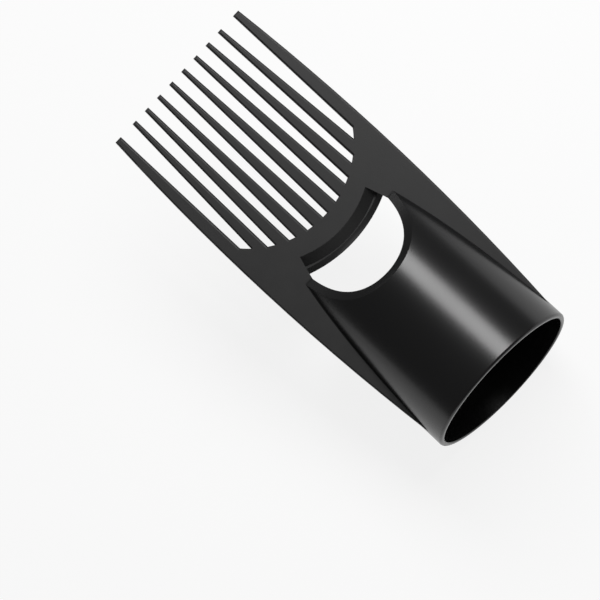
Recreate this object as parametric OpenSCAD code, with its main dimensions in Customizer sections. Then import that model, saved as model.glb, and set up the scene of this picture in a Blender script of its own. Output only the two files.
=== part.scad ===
// Pick comb attachment for a hair dryer, one moulded piece of hard black plastic.
// X runs along the tube's axis from the mouth to the comb's tips, Z is up out of the front face,
// and the middle of the mouth is the origin. Sizes are in millimetres.

/* [Socket] */
// Inside diameter of the socket that slips over the dryer's barrel
bore_d = 48; // [46:0.5:50]
// Thickness of the tube's wall
wall_t = 1.6; // [1.2:0.1:2.2]
// Length of the straight part of the socket, from the mouth
socket_l = 36; // [28:1:40]
// Narrowing of the air passage past the socket, in degrees on each side
passage_draft = 0.3; // [0.1:0.1:1]
// Rounding of the mouth's outer edge
lip_r = 0.75; // [0.3:0.05:1]
// Chamfer inside the mouth that leads the barrel in
lead_in = 0.25; // [0.1:0.05:0.4]
// Length of the tube's rear wall, which ends square
rear_l = 48.5; // [42:0.5:50]

/* [Scoop in the front of the tube] */
// Distance of the scoop's deepest point from the mouth
scoop_top = 38.8; // [34:0.2:42]
// Distance from the mouth at which the scoop runs out on the plate
scoop_low = 57.5; // [54:0.5:60]
// Radius of the scoop, seen from the side
scoop_r = 35.7; // [26:0.1:60]

/* [Plate] */
// Height of the plate's front face over the tube's axis, at the mouth
plate_rise = 4; // [2:0.2:5]
// Tilt of the plate to the tube's axis, in degrees
plate_tilt = 13.56; // [12:0.02:15]
// Length of the plate with its teeth, along the front face
plate_l = 127.8; // [106:0.2:154]
// Width of the plate at its widest place
plate_w = 56.5; // [54:0.1:68]
// Distance of the widest place from the mouth, along the front face
plate_mid = 71; // [60:1:80]
// Radius of the plate's two long sides, seen from the front
side_r = 720; // [500:10:1200]
// Thickness of the plate from the mouth to the window
plate_t = 4.4; // [3.6:0.1:5.3]
// Thickness of the teeth at their tips
tip_t = 2.2; // [1.8:0.1:3]
// Rounding of the plate's and the teeth's front edges
edge_r = 0.55; // [0.3:0.05:0.65]

/* [Window] */
// Distance of the window's comb side from the mouth, along the front face, at the middle
brow_l = 62.95; // [61:0.05:65]
// Radius of the window's comb side
brow_r = 31.1; // [26:0.1:40]
// Depth of the parting step in the sloping wall under that edge
step_depth = 2.6; // [1.8:0.1:3]
// Reach of the wall from the edge to the parting step
step_reach = 3.1; // [2:0.1:3.6]
// Reach of the wall from the edge to the rear of the plate
foot_reach = 4.95; // [4.2:0.05:5.5]
// Radius of the wall's foot
foot_r = 42; // [36:0.5:60]

/* [Teeth] */
// Number of teeth
teeth = 10; // [8:1:12]
// Distance of the gaps' roots from the mouth, along the front face, at the middle
root_l = 69.1; // [68:0.1:74]
// Radius of the arc on which the gaps end
root_r = 30.5; // [28:0.5:40]
// Width of a gap at its root
root_gap = 1.65; // [1.2:0.05:2.2]
// Width of an outer tooth at its root
outer_w = 4.45; // [3.6:0.05:5.4]
// Width of an inner tooth at its tip
tip_w = 1.45; // [1.3:0.05:1.9]
// Spacing of the inner teeth at the tips, as a share of their spacing at the roots
tip_gather = 0.897; // [0.85:0.01:1]
// Rounding of the tips' front edge
tip_edge_r = 0.85; // [0.75:0.05:1.2]

/* [Hidden] */
$fa = 2;
$fs = 0.3;
// How far a cutter passes the face that it cuts, and how far where it must stay clear of what lies beside it
past = 1;
near = 0.1;
// Flattening of the rounded edges: their radius over the width that they take off
crown = 1.2;
// Fragments on the very large circles
broad = 240;
bore_r = bore_d / 2;
tube_r = bore_r + wall_t;
// Middle of the circles that form the long sides
side_c = side_r - plate_w / 2;
// Middles of the window's two arcs and of the roots' arc, along the plate
brow_c = brow_l + brow_r;
foot_c = brow_l - foot_reach + foot_r;
root_c = root_l + root_r;
// Width of the ledge at the parting step, and the radius of the wall's foot at that height
step_ledge = 0.2;
foot_top_r = foot_r - foot_reach + step_reach + step_ledge;
// Half of the plate's width at the roots
root_half_w = half_w(root_l);
// Turn that covers the whole of a long side, seen from the middle of its circle
side_turn = asin(max(plate_mid, plate_l + past - plate_mid) / side_r) + 0.5;
// Number of the outermost gap, counted from the middle, and the spacing of the gaps at their roots
last_gap = (teeth - 2) / 2;
root_pitch = (root_half_w - outer_w - root_gap / 2) / last_gap;
tip_pitch = root_pitch * tip_gather;
// The passage goes on under the plate as far as the wall of the window
passage_l = brow_l + 12;
passage_r = bore_r - (passage_l - socket_l) * tan(passage_draft);
// Middle of the scoop's circle, from its two ends and its radius
scoop_low_z = plane_z(scoop_low);
scoop_dx = scoop_low - scoop_top;
scoop_dz = scoop_low_z - tube_r;
scoop_chord = sqrt(scoop_dx * scoop_dx + scoop_dz * scoop_dz);
scoop_rise = sqrt(scoop_r * scoop_r - scoop_chord * scoop_chord / 4);
scoop_x = (scoop_top + scoop_low) / 2 - scoop_dz / scoop_chord * scoop_rise;
scoop_z = (tube_r + scoop_low_z) / 2 + scoop_dx / scoop_chord * scoop_rise;

// Height of the plate's front face at x
function plane_z(x) = plate_rise + x * tan(plate_tilt);
// Half of the plate's width at the distance s along it
function half_w(s) = sqrt(side_r * side_r - (s - plate_mid) * (s - plate_mid)) - side_c;
// Where the side of gap k lies at its root and at the tips; side is 1 or -1
function root_y(k, side) = k * root_pitch + side * root_gap / 2;
function tip_y(k, side) = k * side == last_gap ? root_y(k, side)
    : (k + side / 2) * tip_pitch - side * tip_w / 2;
// Where the side of gap k lies at the distance s along the plate
function gap_y(k, side, s) = root_y(k, side)
    + (tip_y(k, side) - root_y(k, side)) * (s - root_l) / (plate_l - root_l);
// Angle of the side of gap k to the plate's length
function gap_turn(k, side) = atan2(tip_y(k, side) - root_y(k, side), plate_l - root_l);
// Distance along the plate at which the roots' arc stands at y, and at the side of gap k
function root_s(y) = root_c - sqrt(root_r * root_r - y * y);
function gap_s(k, side) = root_s(gap_y(k, side, root_s(root_y(k, side))));

// Puts its children in the plate's own frame: X along the front face, Z out of it
module on_plate() {
    translate([0, 0, plate_rise]) rotate([0, -plate_tilt, 0]) children();
}

// Turns a profile so that it runs along X, with its own X as Y and its own Y as Z
module along_x(l) {
    rotate([90, 0, 90]) linear_extrude(l) children();
}

// Turns a side view into a block that is as wide as both sides of w
module side_block(w) {
    translate([0, w, 0]) rotate([90, 0, 0]) linear_extrude(2 * w) children();
}

// What rounding takes off a corner at the origin of a solid that lies towards x and y, each 1 or -1;
// the circle is a little wider than the corner, so it leaves each face at a slight angle
module corner_off(r, x, y) {
    c = r / 2 + sqrt(crown * crown * r * r / 2 - r * r / 4);
    difference() {
        translate([x > 0 ? -near : -c, y > 0 ? -near : -c]) square(c + near);
        translate([x * c, y * c]) circle(crown * r);
    }
}

// Outside of the tube with its rounded mouth edge, as far as the end of the scoop
module tube_outside() {
    rotate([0, 90, 0]) rotate_extrude() difference() {
        square([tube_r, scoop_low + past]);
        translate([tube_r, 0]) corner_off(lip_r, -1, 1);
    }
}

// Side view of the tube: square behind the plate, and in front of it on to the end of the scoop
module tube_side() {
    polygon([
        [-past, -tube_r - past],
        [rear_l, -tube_r - past],
        [rear_l, plane_z(rear_l) - plate_t / 2],
        [scoop_low + past / 2, plane_z(scoop_low) - plate_t / 2],
        [scoop_low + past / 2, tube_r + past],
        [-past, tube_r + past],
    ]);
}

// The tube's outside with the scoop in its front
module tube() {
    color("#1b1b1c") difference() {
        intersection() {
            tube_outside();
            side_block(tube_r + past) tube_side();
        }
        translate([scoop_x, tube_r + past, scoop_z]) rotate([90, 0, 0])
            cylinder(h = 2 * tube_r + 2 * past, r = scoop_r, $fn = broad);
    }
}

// Front view of the plate without its gaps, between two very large circles
module plate_outline() {
    intersection() {
        translate([plate_mid, -side_c]) circle(side_r, $fn = 3 * broad);
        translate([plate_mid, side_c]) circle(side_r, $fn = 3 * broad);
        translate([past, -plate_w]) square([plate_l - past, 2 * plate_w]);
    }
}

// Side view of the plate: even in thickness up to the window, then thinning to the tips
module plate_side() {
    polygon([
        [0, 0],
        [plate_l + past, 0],
        [plate_l + past, -tip_t],
        [plate_l, -tip_t],
        [brow_l, -plate_t],
        [0, -plate_t],
    ]);
}

// Front view of gap k: straight sides from the roots' arc to past the tips
module gap_outline(k) {
    intersection() {
        polygon([
            [root_l - past, gap_y(k, -1, root_l - past)],
            [plate_l + past, gap_y(k, -1, plate_l + past)],
            [plate_l + past, gap_y(k, 1, plate_l + past)],
            [root_l - past, gap_y(k, 1, root_l - past)],
        ]);
        union() {
            translate([root_c, 0]) circle(root_r, $fn = broad);
            translate([root_c, -plate_w]) square([plate_l, 2 * plate_w]);
        }
    }
}

// Takes the sharp edge off the front of the tooth on one side of gap k
module gap_edge(k, side) {
    start = gap_s(k, side) - 2 * near;
    translate([start, gap_y(k, side, start), 0]) rotate([0, 0, gap_turn(k, side)])
        along_x(plate_l) corner_off(edge_r, side, -1);
}

// Takes the sharp edge off one long side of the plate
module side_edge(side) {
    translate([plate_mid, -side * side_c, 0]) rotate([0, 0, side * 90 - side_turn])
        rotate_extrude(angle = 2 * side_turn, $fn = 3 * broad)
            translate([side_r, 0]) corner_off(edge_r, -1, -1);
}

// The plate as a whole, with its rounded long sides and tip edge
module plate_blank() {
    difference() {
        intersection() {
            side_block(plate_w) difference() {
                plate_side();
                translate([plate_l, 0]) corner_off(tip_edge_r, -1, -1);
            }
            translate([0, 0, -plate_t - past]) linear_extrude(plate_t + 2 * past) plate_outline();
        }
        for (side = [-1, 1]) side_edge(side);
    }
}

// The plate with its teeth, before the air passage and the window are cut
module comb() {
    color("#2c2c2d") on_plate() difference() {
        difference() {
            plate_blank();
            for (k = [-last_gap:last_gap])
                translate([0, 0, -plate_t - past]) linear_extrude(plate_t + 2 * past) gap_outline(k);
        }
        for (k = [-last_gap:last_gap], side = [-1, 1]) gap_edge(k, side);
    }
}

// The end of the comb that stands in the passage: its wall slopes from the window's edge to a
// parting step and on to its foot at the rear of the plate
module comb_end() {
    brow_slope = step_reach / step_depth;
    foot_slope = (foot_r - foot_top_r) / (plate_t - step_depth);
    on_plate() {
        translate([brow_c, 0, -step_depth])
            cylinder(h = step_depth + past, r1 = brow_r + step_reach, r2 = brow_r - past * brow_slope,
                $fn = broad);
        translate([foot_c, 0, -plate_t - past])
            cylinder(h = plate_t + past - step_depth, r1 = foot_r + past * foot_slope, r2 = foot_top_r,
                $fn = broad);
    }
}

// The air passage: the lead-in, the straight socket, and a slight taper on to the comb's end
module passage() {
    rotate([0, 90, 0]) {
        translate([0, 0, -past]) cylinder(h = past + lead_in, r1 = bore_r + lead_in + past, r2 = bore_r);
        cylinder(h = socket_l, r = bore_r);
    }
    difference() {
        translate([socket_l, 0, 0]) rotate([0, 90, 0])
            cylinder(h = passage_l - socket_l, r1 = bore_r, r2 = passage_r);
        comb_end();
    }
}

module pick_comb() {
    difference() {
        union() {
            tube();
            comb();
        }
        passage();
    }
}

pick_comb();
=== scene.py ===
import math

import bpy
from mathutils import Matrix, Vector

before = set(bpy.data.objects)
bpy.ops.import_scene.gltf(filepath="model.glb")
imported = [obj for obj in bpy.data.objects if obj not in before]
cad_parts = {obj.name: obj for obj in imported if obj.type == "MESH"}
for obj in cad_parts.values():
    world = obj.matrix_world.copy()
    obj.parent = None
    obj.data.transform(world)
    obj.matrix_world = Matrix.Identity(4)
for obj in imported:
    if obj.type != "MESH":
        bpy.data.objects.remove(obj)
bpy.context.view_layer.update()
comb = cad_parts["pick_comb"]
scene = bpy.context.scene
MM = 0.001

# Camera: it looks from the front and a little from the mouth's side, with the tips up and to the left
YAW = math.radians(1.392)
PITCH = math.radians(16.257)
ROLL = math.radians(-0.283)
# Turn of the tube's axis in the picture
TILT = math.radians(43.13)
# From the mouth's middle to the camera
DISTANCE = 700 * MM
# Side of the picture in pixels, and its scale at the mouth
PICTURE = 600
PX_PER_MM = 3.47915
# The mouth's middle in the picture, in pixels across and along the tube from the pivot
PIVOT = (341.0, 225.0)
MOUTH_V = -3.0715
MOUTH_U = 225.5254
SENSOR = 36
CLIP_NEAR, CLIP_FAR = 0.01, 50

# Plastic: the satin tube gives way to the matte plate at this distance from the axis and along it
TUBE_EDGE = (25.68 * MM, 25.85 * MM)
TUBE_END = (57.5 * MM, 58.5 * MM)
# Scale, detail and roughness of the three noises
GRAIN = (2600, 4.0, 0.6)
PATCHES = (160, 3.0, 0.55)
WEAR = (38, 2.0, 0.5)
# Least roughness, and what the noise adds to it
PLATE_ROUGH = (0.44, 0.12)
TUBE_ROUGH = (0.22, 0.08)
PLATE_DARK = (0.0075, 0.0075, 0.0078, 1)
PLATE_LIGHT = (0.0105, 0.0103, 0.0103, 1)
TUBE_COLOUR = (0.0062, 0.0062, 0.0064, 1)
PLASTIC_IOR = 1.5
GRAIN_HEIGHT = 0.02 * MM
PATCH_SHARE = 0.5
PLATE_BUMP, TUBE_BUMP = 0.9, 0.12

# Floor, world and lamp
WHITE = (1, 1, 1, 1)
FLOOR_COLOUR = (0.8, 0.8, 0.8, 1)
FLOOR_GLOW = 0.85
FLOOR_SIZE = 6
FLOOR_PLACE = (0.06, 0, -25.6 * MM)
WORLD_LIGHT, WORLD_SEEN = 0.12, 1.0
# The point that the lamp faces
LIT_MIDDLE = Vector((0.045, 0, 0.01))


def turn(axis, angle):
    return Matrix.Rotation(angle, 3, axis)


def placed(x_axis, y_axis, z_axis, place):
    """The matrix of an object with these axes at this place."""
    return Matrix((
        (x_axis.x, y_axis.x, z_axis.x, place.x),
        (x_axis.y, y_axis.y, z_axis.y, place.y),
        (x_axis.z, y_axis.z, z_axis.z, place.z),
        (0, 0, 0, 1),
    ))


def add_camera():
    """The camera, aimed so that the mouth and the tube's axis lie where the values above put them."""
    # Rows: across the tube, along it to the tips, and towards the camera
    lie = Matrix(((0, -1, 0), (1, 0, 0), (0, 0, 1)))
    to_view = turn("Z", ROLL) @ turn("X", -PITCH) @ turn("Y", -YAW) @ lie
    back = to_view.transposed()
    along = Vector((math.cos(TILT), math.sin(TILT)))
    across = Vector((math.sin(TILT), -math.cos(TILT)))
    middle = Vector((PICTURE / 2 - PIVOT[0], PICTURE / 2 - PIVOT[1]))
    shift_v = (MOUTH_V - middle.dot(across)) / PX_PER_MM * MM
    shift_u = -(MOUTH_U - middle.dot(along)) / PX_PER_MM * MM
    data = bpy.data.cameras.new("camera")
    data.sensor_width = SENSOR
    data.lens = PX_PER_MM / MM * DISTANCE * SENSOR / PICTURE
    data.clip_start, data.clip_end = CLIP_NEAR, CLIP_FAR
    camera = bpy.data.objects.new("camera", data)
    scene.collection.objects.link(camera)
    right = back @ Vector((math.sin(TILT), -math.cos(TILT), 0))
    up = back @ Vector((math.cos(TILT), math.sin(TILT), 0))
    out = back @ Vector((0, 0, 1))
    camera.matrix_world = placed(right, up, out, back @ Vector((-shift_v, -shift_u, DISTANCE)))
    bpy.context.scene.camera = camera


class Nodes:
    """Short names for building a shader."""

    def __init__(self, tree):
        self.tree = tree
        tree.nodes.clear()

    def new(self, kind, **settings):
        node = self.tree.nodes.new(kind)
        for name, value in settings.items():
            setattr(node, name, value)
        return node

    def link(self, source, target):
        self.tree.links.new(source, target)

    def put(self, socket, value):
        """Links value to the socket if it is a socket too, and otherwise sets it there."""
        if isinstance(value, bpy.types.NodeSocket):
            self.link(value, socket)
        else:
            socket.default_value = value

    def math(self, operation, a, b=None):
        node = self.new("ShaderNodeMath", operation=operation)
        self.put(node.inputs[0], a)
        if b is not None:
            self.put(node.inputs[1], b)
        return node.outputs[0]

    def fall(self, value, low, high):
        """Smooth step of value, from 1 at low to 0 at high."""
        node = self.new("ShaderNodeMapRange", interpolation_type="SMOOTHSTEP")
        for index, number in enumerate((value, low, high, 1.0, 0.0)):
            self.put(node.inputs[index], number)
        return node.outputs[0]

    def noise(self, coords, scale, detail, roughness):
        node = self.new("ShaderNodeTexNoise")
        self.put(node.inputs["Vector"], coords)
        node.inputs["Scale"].default_value = scale
        node.inputs["Detail"].default_value = detail
        node.inputs["Roughness"].default_value = roughness
        return node.outputs["Fac"]

    def mix(self, factor, a, b, kind="FLOAT"):
        node = self.new("ShaderNodeMix", data_type=kind)
        place_a, place_b, result = {"FLOAT": (2, 3, 0), "RGBA": (6, 7, 2)}[kind]
        self.put(node.inputs[0], factor)
        self.put(node.inputs[place_a], a)
        self.put(node.inputs[place_b], b)
        return node.outputs[result]


def plastic():
    """Hard black plastic: satin on the tube, matte with a fine grain on the comb plate."""
    material = bpy.data.materials.new("black_plastic_look")
    material.use_nodes = True
    n = Nodes(material.node_tree)
    coords = n.new("ShaderNodeTexCoord").outputs["Object"]
    parts = n.new("ShaderNodeSeparateXYZ")
    n.link(coords, parts.inputs[0])
    x, y, z = parts.outputs
    radius = n.math("SQRT", n.math("ADD", n.math("MULTIPLY", y, y), n.math("MULTIPLY", z, z)))
    on_tube = n.math("MULTIPLY", n.fall(radius, *TUBE_EDGE), n.fall(x, *TUBE_END))
    grain = n.noise(coords, *GRAIN)
    patches = n.noise(coords, *PATCHES)
    wear = n.noise(coords, *WEAR)
    shader = n.new("ShaderNodeBsdfPrincipled")
    plate_rough = n.math("ADD", PLATE_ROUGH[0], n.math("MULTIPLY", patches, PLATE_ROUGH[1]))
    tube_rough = n.math("ADD", TUBE_ROUGH[0], n.math("MULTIPLY", wear, TUBE_ROUGH[1]))
    n.put(shader.inputs["Roughness"], n.mix(on_tube, plate_rough, tube_rough))
    plate_colour = n.mix(patches, PLATE_DARK, PLATE_LIGHT, "RGBA")
    n.put(shader.inputs["Base Color"], n.mix(on_tube, plate_colour, TUBE_COLOUR, "RGBA"))
    shader.inputs["IOR"].default_value = PLASTIC_IOR
    bump = n.new("ShaderNodeBump")
    bump.inputs["Distance"].default_value = GRAIN_HEIGHT
    n.put(bump.inputs["Strength"], n.mix(on_tube, PLATE_BUMP, TUBE_BUMP))
    n.link(n.math("ADD", grain, n.math("MULTIPLY", patches, PATCH_SHARE)), bump.inputs["Height"])
    n.link(bump.outputs[0], shader.inputs["Normal"])
    output = n.new("ShaderNodeOutputMaterial")
    n.link(shader.outputs[0], output.inputs[0])
    return material


def floor_material():
    """Pale and matte for the light, and white where it is seen, reflected or looked through at."""
    material = bpy.data.materials.new("floor_look")
    material.use_nodes = True
    n = Nodes(material.node_tree)
    rays = n.new("ShaderNodeLightPath").outputs
    mirrored = n.math("MAXIMUM", rays["Is Glossy Ray"], rays["Is Transmission Ray"])
    seen = n.math("MAXIMUM", rays["Is Camera Ray"], mirrored)
    matte = n.new("ShaderNodeBsdfDiffuse")
    matte.inputs[0].default_value = FLOOR_COLOUR
    glow = n.new("ShaderNodeEmission")
    glow.inputs[0].default_value = WHITE
    mixed = n.new("ShaderNodeMixShader")
    n.put(mixed.inputs[0], n.math("MULTIPLY", seen, FLOOR_GLOW))
    n.link(matte.outputs[0], mixed.inputs[1])
    n.link(glow.outputs[0], mixed.inputs[2])
    output = n.new("ShaderNodeOutputMaterial")
    n.link(mixed.outputs[0], output.inputs[0])
    return material


def light_world():
    """A faint even light, which the camera sees as white."""
    world = bpy.data.worlds.new("studio")
    scene.world = world
    world.use_nodes = True
    n = Nodes(world.node_tree)
    rays = n.new("ShaderNodeLightPath").outputs
    sky = n.new("ShaderNodeBackground")
    n.put(sky.inputs[0], WHITE)
    n.put(sky.inputs[1], n.mix(rays["Is Camera Ray"], WORLD_LIGHT, WORLD_SEEN))
    output = n.new("ShaderNodeOutputWorld")
    n.link(sky.outputs[0], output.inputs[0])


def softbox(name, direction, distance, length, width, radiance):
    """A rectangular lamp that faces the part's middle, with its length along the tube."""
    lamp = bpy.data.lights.new(name, "AREA")
    lamp.shape = "RECTANGLE"
    lamp.size, lamp.size_y = length, width
    lamp.energy = radiance * math.pi * length * width
    thing = bpy.data.objects.new(name, lamp)
    scene.collection.objects.link(thing)
    z_axis = Vector(direction).normalized()
    x_axis = (Vector((1, 0, 0)) - z_axis * z_axis.x).normalized()
    y_axis = z_axis.cross(x_axis)
    thing.matrix_world = placed(x_axis, y_axis, z_axis, LIT_MIDDLE + z_axis * distance)


add_camera()
comb.data.materials.clear()
comb.data.materials.append(plastic())

bpy.ops.mesh.primitive_plane_add(size=FLOOR_SIZE, location=FLOOR_PLACE)
floor = bpy.context.object
floor.name = "floor"
floor.data.materials.append(floor_material())

light_world()
softbox("key", direction=(0.28, -0.46, 0.84), distance=0.6, length=0.6, width=0.25, radiance=9.0)
scene.view_settings.view_transform = "Standard"

bpy.context.view_layer.update()
